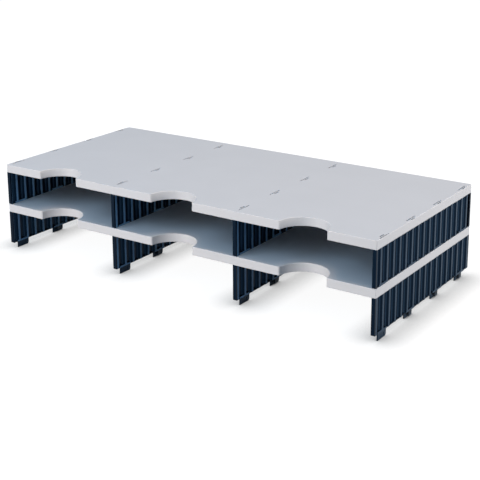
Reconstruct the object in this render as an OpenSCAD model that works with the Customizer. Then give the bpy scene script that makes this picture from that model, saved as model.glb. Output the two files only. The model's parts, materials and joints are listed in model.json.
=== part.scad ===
// Letter sorter unit: two tiers of three bays, plugged together from
// two alike boards and eight corrugated walls, with no loose fasteners.
// X runs along the bays, -Y is the open front, Z is up.
// The origin is under the middle, at the level of the lowest tab tips.
// The walls are open to the front and the back, and to the floor below.

/* [Boards] */
// Width of one bay, which a board repeats three times
bay_w = 241; // [220:1:300]
// Depth of a board, front to back
board_d = 331; // [300:1:400]
// Thickness of a board at its rim
board_t = 14; // [12.5:0.5:20]
// Thickness of the smooth top skin of a board
skin_t = 2.5; // [2:0.5:4]
// Thickness of the rim that hangs round a board
rim_t = 3; // [2:0.5:4]
// Radius of the four corners of a board, seen from above
corner_r = 2; // [1:0.5:3]

/* [Finger notches] */
// Radius of the finger notch at the front of each bay
notch_r = 40; // [25:1:60]
// Radius that rounds off both sides of a notch's mouth
mouth_r = 3; // [1.5:0.5:5]

/* [Underside ribs] */
// Thickness of the stiffening ribs under a board
rib_t = 1.6; // [1.2:0.1:2.4]
// How far the stiffening ribs hang below the skin
rib_h = 7; // [3:0.5:8]
// Largest spacing of the stiffening ribs
rib_gap = 60; // [40:5:80]

/* [Walls] */
// Clear height of a bay, which is the height of a wall
clear_h = 58; // [40:1:120]
// Thickness of a wall over its corrugation
wall_t = 6; // [5.5:0.5:8]
// How far an end wall stands back from the end of the board
wall_inset = 0.6; // [0.4:0.1:2]
// Thickness of the corrugated web
web_t = 2; // [1.6:0.1:2.4]
// Pitch of the corrugation
wave_pitch = 20; // [18:1:26]
// Length of each flat of the corrugation, at the middle of the web
wave_flat = 4.0; // [3.4:0.2:7]
// Length of the solid post at each end of a wall
post_l = 4; // [3:0.5:8]
// Radius of a post's bottom corner
post_r = 2.5; // [1:0.5:3]
// Height of the rails along the top and bottom of a wall
rail_h = 1.4; // [1:0.1:2.4]
// How far those rails stand back from the faces of a wall
rail_set = 0.5; // [0.2:0.1:1]

/* [Plug tabs] */
// Distance from the front of a wall to the middle of its first tab
tab_first = 24; // [22:1:30]
// Distance from the middle of the last tab to the back of the wall
tab_last = 30; // [22:1:36]
// Width of a tab's blade
tab_w = 26; // [20:1:30]
// How far a blade plugs into the board below
tab_h = 10.5; // [8:0.5:12]
// Thickness of a blade and of its finger
tab_t = 1.6; // [1.2:0.1:1.8]
// How far a blade stands in from the face of the wall
tab_set = 0.4; // [0.3:0.1:0.6]
// Radius of the lower rear corner of a blade
tab_r = 4; // [2:0.5:6]
// Width of the shallow panel in the outer face of a blade
panel_w = 12; // [8:1:16]
// Depth of that panel
panel_t = 0.5; // [0.2:0.1:0.6]
// Width of the snap finger beside each blade
finger_w = 10; // [8:1:14]
// Length of the snap finger
finger_h = 8; // [6:0.5:8]
// Radius of the bead that snaps under the skin
bead_r = 0.4; // [0.3:0.05:0.5]
// Height of the solid foot that a tab grows from
foot_h = 3; // [2:0.5:5]

/* [Tongues] */
// Height of the tongues that hold a wall under a board
tongue_h = 6; // [4:0.5:8]
// Thickness of a tongue
tongue_t = 2; // [1.6:0.1:2.2]

/* [Fits] */
// Clearance on each side of a tab or tongue
fit = 0.2; // [0.15:0.05:0.3]
// Clearance at each end of a tab or tongue
end_fit = 1; // [0.5:0.1:1.5]

/* [Hidden] */
bays = 3;
tabs = 4;
board_grey = "#C9CCD1";
wall_blue = "#1B2A3C";
$fn = 96;
cut = 1;    // how far a cutter runs past a face

// Levels, from the tab tips up
lower_wall_z = tab_h;
middle_board_z = lower_wall_z + clear_h;
upper_wall_z = middle_board_z + board_t;
top_board_z = upper_wall_z + clear_h;

// Plan
board_w = bays * bay_w;
front_y = -board_d / 2;
end_line = board_w / 2 - wall_inset - wall_t / 2;
inner_line = bay_w / 2;
wall_lines = [-end_line, -inner_line, inner_line, end_line];
notch_lines = [-bay_w, 0, bay_w];

// Corrugation
wave_n = floor((board_d - 2 * post_l) / wave_pitch);
wave_start = (board_d - wave_n * wave_pitch) / 2;
wave_amp = (wall_t - web_t) / 2;
flank_run = wave_pitch / 2 - wave_flat;
flank_angle = atan2(2 * wave_amp, flank_run);
flat_gain = web_t / 2 * tan(flank_angle / 2);

// Tabs and their slots
blade_x = wall_t / 2 - tab_set - tab_t / 2;
tab_pitch = (board_d - tab_first - tab_last) / (tabs - 1);
tab_mids = [for (i = [0 : tabs - 1]) tab_first + i * tab_pitch];
slot_w = tab_t + 2 * fit;
slot_l = tab_w + 2 * end_fit;
finger_slot_w = slot_w + bead_r;
finger_slot_l = finger_w + 2 * end_fit;
foot_l = slot_l;
rail_w = wall_t - 2 * rail_set;
bead_drop = skin_t + bead_r + fit;
panel_h = tab_h / 2;
box_w = wall_t + 2 * rib_t;
box_l = slot_l + 2 * rib_t;

// Tongues fill the channel between two plug boxes
tongue_mids = [for (i = [0 : tabs - 2]) tab_first + (i + 0.5) * tab_pitch];
tongue_l = tab_pitch - box_l - 2 * end_fit;
channel_w = tongue_t + 2 * fit;
hollow_h = board_t - skin_t;

// The mouth of a notch, as seen from the notch's centre
mouth_x = sqrt(pow(notch_r + mouth_r, 2) - pow(mouth_r, 2));
mouth_angle = asin(mouth_r / (notch_r + mouth_r));

// The blade of the first tab is on the right of the wall, and the rest are on its left
function blade_side(i) = i == 0 ? 1 : -1;

// Board: seen from above, centred, with the front at -Y

module rounded_plate_outline(w, d, r) {
    square([w - 2 * r, d], center = true);
    square([w, d - 2 * r], center = true);
    for (x = [-1, 1])
        for (y = [-1, 1])
            translate([x * (w / 2 - r), y * (d / 2 - r)])
                circle(r);
}

// Semicircle on the front edge whose mouth is rounded to meet that edge
module notch_outline() {
    circle(notch_r);
    difference() {
        translate([-mouth_x, -cut])
            square([2 * mouth_x, notch_r * sin(mouth_angle) + cut]);
        for (x = [-1, 1])
            translate([x * mouth_x, mouth_r])
                circle(mouth_r);
    }
}

module board_outline() {
    difference() {
        rounded_plate_outline(board_w, board_d, corner_r);
        for (x = notch_lines)
            translate([x, front_y])
                notch_outline();
    }
}

// Space inside the rim, under the skin
module hollow_outline() {
    difference() {
        square([board_w - 2 * rim_t, board_d - 2 * rim_t], center = true);
        for (x = notch_lines)
            translate([x, front_y])
                circle(notch_r + rim_t);
    }
}

// Bars that the walls below seat against
module bar_outline() {
    for (x = wall_lines)
        translate([x - wall_t / 2, front_y])
            square([wall_t, board_d]);
}

// Channel along each bar, which takes the tongues of the wall below
module channel_outline() {
    for (x = wall_lines)
        translate([x - channel_w / 2, front_y + rim_t])
            square([channel_w, board_d - 2 * rim_t]);
}

// Boxes round the places where tabs plug in from above
module plug_box_outline() {
    for (x = wall_lines)
        for (y = tab_mids)
            translate([x, front_y + y])
                square([box_w, box_l], center = true);
}

module rib_outline() {
    for (i = [0 : bays - 1]) {
        left = wall_lines[i];
        gap = wall_lines[i + 1] - left;
        n = ceil(gap / rib_gap);
        for (k = [1 : n - 1])
            translate([left + k * gap / n, 0])
                square([rib_t, board_d], center = true);
    }
    rows = ceil(board_d / rib_gap);
    for (k = [1 : rows - 1])
        translate([0, front_y + k * board_d / rows])
            square([board_w, rib_t], center = true);
}

// One plug place: a long slot for the blade, and a short one beside it for the finger
module plug_slots(side) {
    depth = board_t + 2 * cut;
    translate([side * blade_x - slot_w / 2, -slot_l / 2, -cut])
        cube([slot_w, slot_l, depth]);
    inner_gap = side > 0 ? 0 : bead_r;
    translate([-side * blade_x - slot_w / 2 - inner_gap, -finger_slot_l / 2, -cut])
        cube([finger_slot_w, finger_slot_l, depth]);
}

module board() {
    difference() {
        linear_extrude(board_t)
            board_outline();
        // between the rim, the bars, the boxes and the ribs, up to the skin
        translate([0, 0, -cut])
            linear_extrude(hollow_h + cut) {
                difference() {
                    hollow_outline();
                    bar_outline();
                    plug_box_outline();
                    rib_outline();
                }
                difference() {
                    channel_outline();
                    plug_box_outline();
                }
            }
        // the ribs stop short of the rim's lower edge
        translate([0, 0, -cut])
            linear_extrude(hollow_h - rib_h + cut)
                difference() {
                    hollow_outline();
                    bar_outline();
                    plug_box_outline();
                }
        for (x = wall_lines)
            for (i = [0 : tabs - 1])
                translate([x, front_y + tab_mids[i], 0])
                    plug_slots(blade_side(i));
    }
}

// Wall: its mid-plane is X = 0, its front is Y = 0 and its bottom edge is Z = 0

// Corrugated web from above. Flats lie by turns on each side, first on side -hand.
// A flat is longer on its outer face and shorter on its inner one, so the web keeps its thickness.
function flat_side(i, hand) = i % 2 == 0 ? -hand : hand;
function web_edge(face, hand) = [
    for (i = [0 : 2 * wave_n])
        for (e = [-1, 1])
            let (
                side = flat_side(i, hand),
                mid = wave_start + i * wave_pitch / 2,
                half = wave_flat / 2 + side * face * flat_gain,
                at_end = (i == 0 && e < 0) || (i == 2 * wave_n && e > 0)
            )
            [side * wave_amp + face * web_t / 2, at_end ? (e < 0 ? 0 : board_d) : mid + e * half]
];

module web_outline(hand) {
    right = web_edge(1, hand);
    left = web_edge(-1, hand);
    last = len(left) - 1;
    polygon(concat(right, [for (i = [last : -1 : 0]) left[i]]));
}

module bar_along(w, y, l, z, h) {
    translate([-w / 2, y, z])
        cube([w, l, h]);
}

// Blade seen from the side, with its lower rear corner rounded
module blade_side_view() {
    difference() {
        translate([-tab_w / 2, -tab_h])
            square([tab_w, tab_h + rail_h]);
        translate([tab_w / 2 - tab_r, -tab_h - cut])
            square([tab_r + cut, tab_r + cut]);
    }
    translate([tab_w / 2 - tab_r, -tab_h + tab_r])
        circle(tab_r);
}

// A blade on one side, with a panel in its outer face, and a beaded snap finger on the other side
module plug_tab(side) {
    difference() {
        translate([side * blade_x - tab_t / 2, 0, 0])
            rotate([90, 0, 90])
                linear_extrude(tab_t)
                    blade_side_view();
        translate([side * (blade_x + tab_t / 2), 0, -tab_h / 2])
            cube([2 * panel_t, panel_w, panel_h], center = true);
    }
    translate([-side * blade_x, 0, 0]) {
        translate([-tab_t / 2, -finger_w / 2, -finger_h])
            cube([tab_t, finger_w, finger_h + rail_h]);
        translate([side * tab_t / 2, finger_w / 2, -bead_drop])
            rotate([90, 0, 0])
                cylinder(h = finger_w, r = bead_r);
    }
}

// Rounds the lower outer corner of an end post
module post_corner_cut() {
    rotate([90, 0, 90])
        linear_extrude(wall_t + 2 * cut, center = true)
            difference() {
                translate([-cut, -cut])
                    square(post_r + cut);
                translate([post_r, post_r])
                    circle(post_r);
            }
}

module wall(hand) {
    difference() {
        union() {
            linear_extrude(clear_h)
                web_outline(hand);
            bar_along(wall_t, 0, post_l, 0, clear_h);
            bar_along(wall_t, board_d - post_l, post_l, 0, clear_h);
            bar_along(rail_w, 0, board_d, 0, rail_h);
            bar_along(rail_w, 0, board_d, clear_h - rail_h, rail_h);
            for (y = tab_mids)
                bar_along(wall_t, y - foot_l / 2, foot_l, 0, foot_h);
        }
        post_corner_cut();
        translate([0, board_d, 0])
            mirror([0, 1, 0])
                post_corner_cut();
    }
    for (i = [0 : tabs - 1])
        translate([0, tab_mids[i], 0])
            plug_tab(blade_side(i));
    for (y = tongue_mids)
        bar_along(tongue_t, y - tongue_l / 2, tongue_l, clear_h - rail_h, tongue_h + rail_h);
}

module placed_wall(line, z, hand) {
    color(wall_blue)
        translate([wall_lines[line], front_y, z])
            wall(hand);
}

module placed_board(z) {
    color(board_grey)
        translate([0, 0, z])
            board();
}

// Sub-parts

module top_board() {
    placed_board(top_board_z);
}

module middle_board() {
    placed_board(middle_board_z);
}

module upper_left_wall() {
    placed_wall(0, upper_wall_z, 1);
}

module upper_left_divider() {
    placed_wall(1, upper_wall_z, -1);
}

module upper_right_divider() {
    placed_wall(2, upper_wall_z, -1);
}

module upper_right_wall() {
    placed_wall(3, upper_wall_z, 1);
}

module lower_left_wall() {
    placed_wall(0, lower_wall_z, 1);
}

module lower_left_divider() {
    placed_wall(1, lower_wall_z, -1);
}

module lower_right_divider() {
    placed_wall(2, lower_wall_z, -1);
}

module lower_right_wall() {
    placed_wall(3, lower_wall_z, -1);
}

top_board();
middle_board();
upper_left_wall();
upper_left_divider();
upper_right_divider();
upper_right_wall();
lower_left_wall();
lower_left_divider();
lower_right_divider();
lower_right_wall();
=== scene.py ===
# %% [markdown]
# # Two-tier letter sorter
#
# The real thing is a plug-together desk unit: two light grey boards, each three bays wide, on eight dark
# corrugated walls. All of it is taken to be injection-moulded polystyrene. The boards and walls come from
# the imported CAD model and stay where they are. What is left to make here is rounded edges, fine grain,
# a satin sheen, painted highlights on the crests and edges, and soft light on a white floor.

# %% Load the CAD model as a fixed frame
import json
from math import radians

import bmesh
import bpy
from mathutils import Matrix, Vector

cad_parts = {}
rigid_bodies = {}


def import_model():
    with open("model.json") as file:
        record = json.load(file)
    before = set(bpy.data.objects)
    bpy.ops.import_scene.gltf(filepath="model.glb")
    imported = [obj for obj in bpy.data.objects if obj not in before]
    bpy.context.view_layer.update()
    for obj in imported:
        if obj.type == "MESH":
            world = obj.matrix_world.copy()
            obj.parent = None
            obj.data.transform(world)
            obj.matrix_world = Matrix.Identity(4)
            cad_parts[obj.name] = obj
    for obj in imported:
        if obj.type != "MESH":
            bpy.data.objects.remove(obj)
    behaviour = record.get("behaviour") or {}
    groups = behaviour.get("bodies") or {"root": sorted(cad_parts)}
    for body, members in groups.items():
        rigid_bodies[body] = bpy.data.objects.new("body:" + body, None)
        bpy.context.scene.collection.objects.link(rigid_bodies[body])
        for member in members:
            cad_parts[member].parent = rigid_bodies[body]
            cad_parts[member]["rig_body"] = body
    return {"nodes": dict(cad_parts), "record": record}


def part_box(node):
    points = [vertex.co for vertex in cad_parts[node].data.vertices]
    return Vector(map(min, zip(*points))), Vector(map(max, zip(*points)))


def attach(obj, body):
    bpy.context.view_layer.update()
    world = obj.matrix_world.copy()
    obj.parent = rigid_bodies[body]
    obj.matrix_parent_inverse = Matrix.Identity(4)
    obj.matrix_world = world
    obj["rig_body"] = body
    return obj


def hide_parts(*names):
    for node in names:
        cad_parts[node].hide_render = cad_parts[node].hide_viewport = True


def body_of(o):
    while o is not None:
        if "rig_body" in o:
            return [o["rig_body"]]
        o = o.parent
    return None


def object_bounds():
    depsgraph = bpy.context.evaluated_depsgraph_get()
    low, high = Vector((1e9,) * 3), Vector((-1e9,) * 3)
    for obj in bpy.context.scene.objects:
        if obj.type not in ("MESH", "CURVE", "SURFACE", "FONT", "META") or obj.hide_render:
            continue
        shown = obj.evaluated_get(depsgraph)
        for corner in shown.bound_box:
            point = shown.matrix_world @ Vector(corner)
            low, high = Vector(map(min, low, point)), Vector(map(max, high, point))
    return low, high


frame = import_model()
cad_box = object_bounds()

print("CAD nodes:", ", ".join(sorted(frame["nodes"])))

# %% [markdown]
# Sizes are written in millimetres, as the drawings of such a part are, and one value turns them into
# Blender's metres.

# %% Units and the object's size
MM = 0.001
low, high = cad_box
size = high - low
print("CAD box in mm:", [round(side / MM, 1) for side in size])

# %% [markdown]
# ## The camera
#
# The photograph was taken from the front right and slightly above, with a long lens. The place and the
# angles below are real ones, in the object's own frame: heading turns the camera from straight ahead,
# tilt looks down from the horizon, and the focal length is for Blender's 36 mm wide sensor. The vertical
# shift brings the walls nearer to upright in the picture. The photograph asks for more of it, but it is
# held at a fifth of the picture's width, and place and angles were fitted again to the object's corners
# with that.

# %% Camera
CAMERA_PLACE_MM = (1020.2, -1462.5, 666.2)
CAMERA_HEADING = 34.40
CAMERA_TILT = 14.46
CAMERA_ROLL = -0.31
FOCAL_LENGTH = 82.61
LENS_SHIFT = -0.2

camera_data = bpy.data.cameras.new("camera")
camera = bpy.data.objects.new("camera", camera_data)
bpy.context.scene.collection.objects.link(camera)
bpy.context.scene.camera = camera
camera_data.sensor_width = 36
camera_data.lens = FOCAL_LENGTH
camera_data.shift_y = LENS_SHIFT
camera_data.clip_start = 0.05
camera_data.clip_end = 50
turn = (
    Matrix.Rotation(radians(CAMERA_HEADING), 3, "Z")
    @ Matrix.Rotation(radians(90 - CAMERA_TILT), 3, "X")
    @ Matrix.Rotation(radians(CAMERA_ROLL), 3, "Z")
)
camera.matrix_world = Matrix.Translation(Vector(CAMERA_PLACE_MM) * MM) @ turn.to_4x4()
bpy.context.scene.view_settings.view_transform = "Standard"
print("camera looks along", [round(c, 3) for c in turn @ Vector((0, 0, -1))])

# %% [markdown]
# ## Broken edges
#
# A mould leaves no knife edges. Each CAD moulding stays where it is and gets a copy that is shown in its
# place. On that copy the triangles of the flat faces are joined again, and then the edges that the light
# finds are rounded by a bevel: the top and bottom outline of a board, and the upright edges of a wall.
# The slots and the small edges stay sharp. The end slots leave a land of only 0.8 mm to the rim, and the
# bevel's clamp holds the board's top radius to about that, though 0.9 mm is asked for.
#
# The crests of the folds get a painted sheen: a lighter colour that stands in for the light they catch.
# Every face of a wall carries a number that says how much of it the face gets: 1 on the crests inside a
# bay, little on the outside, on the tabs and on a narrow strip halfway down each flank. Straight cuts part
# those strips, and the posts, from the faces beside them, so that one face needs only one number. The
# wall's plastic mixes its two colours by it.

# %% Helpers that pick edges
TOUCH = 0.01 * MM
SHARP = radians(30)


def sharp_edges(shape):
    return [edge for edge in shape.edges if edge.calc_face_angle(0) > SHARP]


def loops_at(shape, height):
    """The groups of joined sharp edges that lie at a height, the longest group first."""
    left = {e for e in sharp_edges(shape) if all(abs(v.co.z - height) < TOUCH for v in e.verts)}
    groups = []
    while left:
        group, waiting = [], [left.pop()]
        while waiting:
            edge = waiting.pop()
            group.append(edge)
            joined = [e for v in edge.verts for e in v.link_edges if e in left]
            left.difference_update(joined)
            waiting.extend(joined)
        groups.append(group)
    return sorted(groups, key=lambda group: -sum(edge.calc_length() for edge in group))


def upright_edges(shape, shortest):
    """Sharp edges that run straight up and are at least so long."""
    picked = []
    for edge in sharp_edges(shape):
        run = edge.verts[1].co - edge.verts[0].co
        if abs(run.z) > shortest and abs(run.x) + abs(run.y) < TOUCH:
            picked.append(edge)
    return picked


def round_off(shape, edges, radius_mm, segments):
    bmesh.ops.bevel(
        shape, geom=edges, offset=radius_mm * MM, offset_type="OFFSET", segments=segments, profile=0.5,
        affect="EDGES", clamp_overlap=True,
    )


# %% Round off the edges of every moulding
OUTLINE_RADIUS_MM = 0.9
FOOT_RADIUS_MM = 0.4
FOLD_RADIUS_MM = 0.6
LONG_EDGE_MM = 20
SAME_FLAT = radians(0.5)
SMOOTH_BELOW = radians(15)


def break_board(shape, lowest, highest):
    round_off(shape, loops_at(shape, highest.z)[0], OUTLINE_RADIUS_MM, 3)
    round_off(shape, loops_at(shape, lowest.z)[0], FOOT_RADIUS_MM, 2)


def break_wall(shape, lowest, highest):
    round_off(shape, upright_edges(shape, LONG_EDGE_MM * MM), FOLD_RADIUS_MM, 2)
    part_folds(shape, lowest, highest)


print("radii in mm:", OUTLINE_RADIUS_MM, "outline,", FOOT_RADIUS_MM, "foot,", FOLD_RADIUS_MM, "folds")

# %% How much painted sheen each face of a wall gets
POST_MM = 3.4
CREST_DEPTH_MM = 0.2
STRIP_DEPTHS_MM = (2.2, 3.4)
OUTSIDE_MM = 2
WEB_HEIGHT_MM = 66
OUTSIDE_PAINTED_SHEEN = 0.16
STRIP_PAINTED_SHEEN = 0.12
TAB_PAINTED_SHEEN = 0.1
FACES_SIDEWAYS = 0.5
FACES_STRAIGHT_OUT = 0.95


def cut_across(shape, place, direction):
    everything = shape.verts[:] + shape.edges[:] + shape.faces[:]
    bmesh.ops.bisect_plane(shape, geom=everything, dist=TOUCH / 10, plane_co=place, plane_no=direction)


def part_folds(shape, lowest, highest):
    """Parts the posts from the first flats, and a narrow strip from the middle of every flank."""
    for y in (lowest.y + POST_MM * MM, highest.y - POST_MM * MM):
        cut_across(shape, (0, y, 0), (0, 1, 0))
    for depth in STRIP_DEPTHS_MM:
        for x in (lowest.x + depth * MM, highest.x - depth * MM):
            cut_across(shape, (x, 0, 0), (1, 0, 0))


def painted_sheen_of(face, lowest, highest):
    """How much painted sheen a face gets: most on a crest in a bay, little on a flank's strip or a tab."""
    middle = face.center
    depth = (highest.x - middle.x if face.normal.x > 0 else middle.x - lowest.x) / MM
    from_end = min(middle.y - lowest.y, highest.y - middle.y) / MM
    if abs(face.normal.x) < FACES_SIDEWAYS or from_end < POST_MM:
        return 0.0
    if middle.z < highest.z - WEB_HEIGHT_MM * MM:
        return TAB_PAINTED_SHEEN
    if depth < CREST_DEPTH_MM:
        return OUTSIDE_PAINTED_SHEEN if abs(middle.x) > high.x - OUTSIDE_MM * MM else 1.0
    on_strip = STRIP_DEPTHS_MM[0] < depth < STRIP_DEPTHS_MM[1]
    if on_strip and abs(face.normal.x) < FACES_STRAIGHT_OUT:
        return STRIP_PAINTED_SHEEN
    return 0.0


print("wear: 1 on crests in a bay,", OUTSIDE_PAINTED_SHEEN, "outside,", STRIP_PAINTED_SHEEN, "on strips,", TAB_PAINTED_SHEEN, "on tabs")

# %% [markdown]
# Each copy takes its CAD node's place in the picture and moves with the same body. Large faces would be
# shaded with a faint gradient beside a bevel. Weighted normals let the large face decide, and keep it
# flat.

# %% Make the ten mouldings
mouldings = {}
for part in frame["record"]["subparts"]:
    name = part["node"]
    node = frame["nodes"][name]
    shape = bmesh.new()
    shape.from_mesh(node.data)
    bmesh.ops.remove_doubles(shape, verts=shape.verts, dist=TOUCH / 10)
    bmesh.ops.dissolve_limit(shape, angle_limit=SAME_FLAT, verts=shape.verts, edges=shape.edges)
    break_edges = break_board if part["material_slot"] == "board_plastic" else break_wall
    lowest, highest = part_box(name)
    break_edges(shape, lowest, highest)
    mesh = bpy.data.meshes.new(name + "_moulding")
    shape.to_mesh(mesh)
    open_edges = sum(not edge.is_manifold for edge in shape.edges)
    shape.free()
    # painted sheen: each wall face gets its share of a lighter colour that stands in for light
    if break_edges is break_wall:
        painted_sheen = mesh.attributes.new("painted_sheen", "FLOAT", "FACE")
        painted_sheen.data.foreach_set("value", [painted_sheen_of(face, lowest, highest) for face in mesh.polygons])
    mesh.polygons.foreach_set("use_smooth", [True] * len(mesh.polygons))
    mesh.set_sharp_from_angle(angle=SMOOTH_BELOW)
    piece = bpy.data.objects.new(name + "_moulding", mesh)
    bpy.context.scene.collection.objects.link(piece)
    shading = piece.modifiers.new("large faces shade flat", "WEIGHTED_NORMAL")
    shading.keep_sharp = True
    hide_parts(name)
    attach(piece, body_of(node)[0])
    mouldings[name] = piece
    print(name, len(mesh.polygons), "faces,", open_edges, "open edges")

# %% [markdown]
# ## Colours and nodes
#
# A colour on screen is an sRGB value, and a shader wants light, which is linear. One function does that
# change for every colour in this file. One more adds a node with its settings and its links, so that each
# material below reads as a list of what it is made of.

# %% Colour and node helpers
def linear(hex_code):
    """Linear RGBA of an sRGB colour such as #C8CBD0."""
    levels = [int(hex_code[i:i + 2], 16) / 255 for i in (1, 3, 5)]
    return (*[c / 12.92 if c <= 0.04045 else ((c + 0.055) / 1.055) ** 2.4 for c in levels], 1.0)


def add(tree, kind, inputs=None, **settings):
    """Adds a node. inputs maps a socket's name or number to a value or to another node's output."""
    node = tree.nodes.new(kind)
    for name, value in settings.items():
        setattr(node, name, value)
    for socket, value in (inputs or {}).items():
        if isinstance(value, bpy.types.NodeSocket):
            tree.links.new(value, node.inputs[socket])
        else:
            node.inputs[socket].default_value = value
    return node


def grain(size_mm):
    """The Scale of a noise whose grains are about size_mm across."""
    return 1 / (size_mm * MM)


print("mid grey is", round(linear("#808080")[0], 3), "in linear light")

# %% [markdown]
# ## The plastics
#
# Both have the fine matt grain of a moulded surface. It is drawn at 0.9 mm, coarser than it would be, so
# that it shows at all. Edges get a painted highlight, a lighter colour: the mask for it compares the
# surface's own direction with one averaged over a little more than half a millimetre, and the two differ
# only near an edge.
#
# The walls are nearly black, so what is seen of them is their sheen. Its tint makes it blue, as the
# photograph has it, and where the painted sheen number is 1 a lighter painted colour, standing in for the
# light on the crests, takes the body colour's place.

# %% Moulded polystyrene
FLOW_MM = 70
EDGE_STARTS = 0.99
EDGE_FULL = 0.80
ROUGHNESS_SPREAD = 0.05


def moulded_polystyrene(
    name, body, edge, shine, roughness, edge_mm, grain_mm, grain_depth_mm, mottle,
    gleam="#FFFFFF", painted_sheen_colour=None,
):
    material = bpy.data.materials.new(name)
    material.use_nodes = True
    tree = material.node_tree
    tree.nodes.clear()
    place = add(tree, "ShaderNodeTexCoord").outputs["Object"]

    # where the surface turns: 1 on an edge, 0 on a flat; it masks the painted edge highlight
    rounded = add(tree, "ShaderNodeBevel", {"Radius": edge_mm * MM}, samples=6).outputs["Normal"]
    flat = add(tree, "ShaderNodeNewGeometry").outputs["Normal"]
    facing = add(tree, "ShaderNodeVectorMath", {0: rounded, 1: flat}, operation="DOT_PRODUCT")
    edge_highlight_mask = add(
        tree, "ShaderNodeMapRange",
        {"Value": facing.outputs["Value"], "From Min": EDGE_STARTS, "From Max": EDGE_FULL},
    ).outputs["Result"]

    # slow mottling, as the melt's flow leaves it, and the fine grain
    flow = add(tree, "ShaderNodeTexNoise", {"Vector": place, "Scale": grain(FLOW_MM), "Detail": 3.0})
    fine = add(tree, "ShaderNodeTexNoise", {"Vector": place, "Scale": grain(grain_mm), "Detail": 2.0})
    shade = add(
        tree, "ShaderNodeMapRange",
        {
            "Value": flow.outputs["Fac"], "From Min": 0.3, "From Max": 0.7,
            "To Min": 1 - mottle, "To Max": 1 + mottle,
        },
    ).outputs["Result"]
    tone = add(tree, "ShaderNodeHueSaturation", {"Value": shade, "Color": linear(body)}).outputs["Color"]
    # painted sheen: a lighter colour stands in for the light the crests catch
    if painted_sheen_colour:
        painted_sheen = add(tree, "ShaderNodeAttribute", attribute_name="painted_sheen").outputs["Fac"]
        tone = add(tree, "ShaderNodeMix", {0: painted_sheen, 6: tone, 7: linear(painted_sheen_colour)}, data_type="RGBA").outputs[2]
    # painted highlight: edges take the lighter edge colour
    colour = add(
        tree, "ShaderNodeMix", {0: edge_highlight_mask, 6: tone, 7: linear(edge)}, data_type="RGBA",
    ).outputs[2]
    rough = add(
        tree, "ShaderNodeMapRange",
        {
            "Value": fine.outputs["Fac"],
            "To Min": roughness - ROUGHNESS_SPREAD, "To Max": roughness + ROUGHNESS_SPREAD,
        },
    ).outputs["Result"]
    relief = add(
        tree, "ShaderNodeBump",
        {"Height": fine.outputs["Fac"], "Normal": rounded, "Strength": 0.6, "Distance": grain_depth_mm * MM},
    ).outputs["Normal"]

    shader = add(
        tree, "ShaderNodeBsdfPrincipled",
        {
            "Base Color": colour, "Roughness": rough, "Normal": relief, "IOR": 1.48,
            "Specular IOR Level": shine, "Specular Tint": linear(gleam),
        },
    )
    add(tree, "ShaderNodeOutputMaterial", {"Surface": shader.outputs["BSDF"]})
    print("material:", name)
    return material


# the edge colours are painted highlights; the walls' lighter colour is a painted sheen
board_plastic = moulded_polystyrene(
    "light_grey_polystyrene", body="#CBCBCD", edge="#DEDEE1",
    shine=0.3, roughness=0.45, edge_mm=0.8, grain_mm=0.9, grain_depth_mm=0.03, mottle=0.012,
)
wall_plastic = moulded_polystyrene(
    "navy_polystyrene", body="#020914", edge="#14283A", painted_sheen_colour="#6C92B4",
    gleam="#5CA4E8", shine=0.34, roughness=0.30, edge_mm=0.6, grain_mm=0.9, grain_depth_mm=0.02, mottle=0.04,
)

# %% Give every moulding its plastic
BY_SLOT = {"board_plastic": board_plastic, "wall_plastic": wall_plastic}
for part in frame["record"]["subparts"]:
    for shown in (frame["nodes"][part["node"]], mouldings[part["node"]]):
        shown.data.materials.clear()
        shown.data.materials.append(BY_SLOT[part["material_slot"]])
print(len(mouldings), "mouldings have their plastic")

# %% [markdown]
# ## The floor
#
# White paper. A grey floor takes the lamps' shadows, and a glow of its own, seen by the camera and half
# as strong in reflections, lifts it to white. Ambient occlusion takes that glow away within 60 mm of the
# object, which leaves the soft shadow at its tabs. Light that bounces off the floor is slightly blue, as
# under the sky.

# %% Floor
FLOOR_SIDE = 40
CONTACT_MM = 60
CONTACT_POWER = 1.3
GLOW = 0.95
REFLECTED_SHARE = 0.5
floor_mesh = bpy.data.meshes.new("floor")
shape = bmesh.new()
bmesh.ops.create_grid(shape, x_segments=1, y_segments=1, size=FLOOR_SIDE / 2)
shape.to_mesh(floor_mesh)
shape.free()
floor = bpy.data.objects.new("floor", floor_mesh)
bpy.context.scene.collection.objects.link(floor)

paper = bpy.data.materials.new("white_paper_floor")
paper.use_nodes = True
tree = paper.node_tree
tree.nodes.clear()
rays = add(tree, "ShaderNodeLightPath").outputs
half_glossy = add(
    tree, "ShaderNodeMath", {0: rays["Is Glossy Ray"], 1: REFLECTED_SHARE}, operation="MULTIPLY",
).outputs[0]
shown = add(
    tree, "ShaderNodeMath", {0: rays["Is Camera Ray"], 1: half_glossy}, operation="MAXIMUM",
).outputs[0]
open_sky = add(tree, "ShaderNodeAmbientOcclusion", {"Distance": CONTACT_MM * MM}, samples=8).outputs["AO"]
open_sky = add(tree, "ShaderNodeMath", {0: open_sky, 1: CONTACT_POWER}, operation="POWER").outputs[0]
glow = add(tree, "ShaderNodeMapRange", {"Value": open_sky, "To Max": GLOW}).outputs["Result"]
strength = add(tree, "ShaderNodeMath", {0: glow, 1: shown}, operation="MULTIPLY").outputs[0]
tone = add(
    tree, "ShaderNodeMix", {0: rays["Is Diffuse Ray"], 6: linear("#6A6A6A"), 7: linear("#5A6E82")},
    data_type="RGBA",
).outputs[2]
lit = add(tree, "ShaderNodeBsdfDiffuse", {"Color": tone}).outputs[0]
own = add(tree, "ShaderNodeEmission", {"Color": (1, 1, 1, 1), "Strength": strength}).outputs[0]
both = add(tree, "ShaderNodeAddShader", {0: lit, 1: own}).outputs[0]
add(tree, "ShaderNodeOutputMaterial", {"Surface": both})
floor_mesh.materials.append(paper)
print("floor", FLOOR_SIDE, "m wide")

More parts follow.
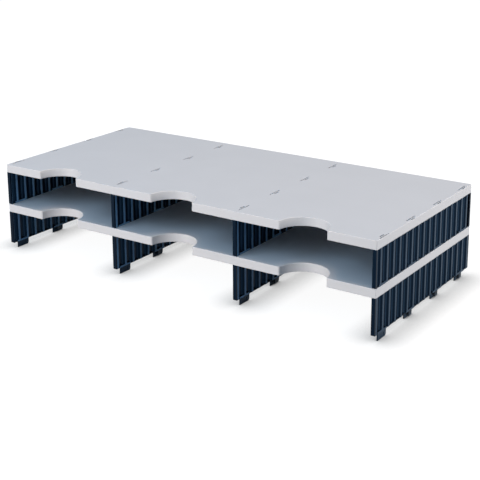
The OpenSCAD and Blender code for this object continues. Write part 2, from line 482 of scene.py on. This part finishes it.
# %% [markdown]
# ## The world
#
# The photograph's bays darken quickly from front to back, which a sky does that is bright overhead and
# dark at the horizon. It is a little blue, more so lower down. To the camera the world is plain white,
# and in reflections it is an even half white.

# %% World
ZENITH_LEVEL = 1.1
HORIZON_LEVEL = 0.0
DARK_BELOW = 0.12
PALEST_ABOVE = 0.6
HORIZON_TINT = "#A8DAFF"
ZENITH_TINT = "#D2EAFF"
world = bpy.data.worlds.new("studio")
bpy.context.scene.world = world
world.use_nodes = True
tree = world.node_tree
tree.nodes.clear()
rays = add(tree, "ShaderNodeLightPath").outputs
direction = add(tree, "ShaderNodeTexCoord").outputs["Generated"]
parts = add(tree, "ShaderNodeSeparateXYZ", {0: direction}).outputs
dome = add(
    tree, "ShaderNodeMapRange",
    {"Value": parts["Z"], "From Min": DARK_BELOW, "To Min": HORIZON_LEVEL, "To Max": ZENITH_LEVEL},
).outputs["Result"]
dome = add(tree, "ShaderNodeMix", {0: rays["Is Glossy Ray"], 2: dome, 3: REFLECTED_SHARE}).outputs[0]
level = add(tree, "ShaderNodeMix", {0: rays["Is Camera Ray"], 2: dome, 3: 1.0}).outputs[0]
height = add(tree, "ShaderNodeMapRange", {"Value": parts["Z"], "From Max": PALEST_ABOVE})
tint = add(
    tree, "ShaderNodeMix", {0: height.outputs["Result"], 6: linear(HORIZON_TINT), 7: linear(ZENITH_TINT)},
    data_type="RGBA",
).outputs[2]
tint = add(
    tree, "ShaderNodeMix", {0: rays["Is Camera Ray"], 6: tint, 7: linear("#FFFFFF")}, data_type="RGBA",
).outputs[2]
sky = add(tree, "ShaderNodeBackground", {"Color": tint, "Strength": level}).outputs[0]
add(tree, "ShaderNodeOutputWorld", {"Surface": sky})
print("world lights at", HORIZON_LEVEL, "to", ZENITH_LEVEL)

# %% [markdown]
# ## The lamps
#
# Five soft lamps. Two long, low strips, in front and behind, light the upright rims and only graze the
# flat faces. A softbox on the right lights the end wall. One in front and above is blue and reaches into
# the bays, and one overhead is warm, so that the two together leave the top a neutral grey.

# %% Lamps
def softbox(name, place, aim, width, height, power, colour="#FFFFFF"):
    """A rectangular lamp at place, in metres, that faces aim."""
    data = bpy.data.lights.new(name, "AREA")
    data.shape = "RECTANGLE"
    data.size = width
    data.size_y = height
    data.energy = power
    data.color = linear(colour)[:3]
    lamp = bpy.data.objects.new(name, data)
    bpy.context.scene.collection.objects.link(lamp)
    lamp.location = place
    lamp.rotation_mode = "QUATERNION"
    lamp.rotation_quaternion = (Vector(aim) - Vector(place)).to_track_quat("-Z", "Y")
    print("lamp:", name, power, "W")
    return lamp


MIDDLE = (0, 0, size.z / 2)
softbox("front_strip", (-0.3, -1.8, 0.12), MIDDLE, 2.2, 0.08, 27, "#FFEEDC")
softbox("right_softbox", (1.8, 0.5, 0.4), MIDDLE, 1.4, 0.6, 24, "#FFF6EE")
softbox("front_softbox", (-0.5, -1.7, 1.5), MIDDLE, 1.6, 1.2, 15, "#B4DCFF")
softbox("top_softbox", (0.1, 0.05, 2.3), MIDDLE, 1.4, 1.0, 21, "#FFD2A0")
softbox("rear_strip", (-1.3, 1.5, 0.05), MIDDLE, 1.8, 0.08, 16, "#F4F8FF")
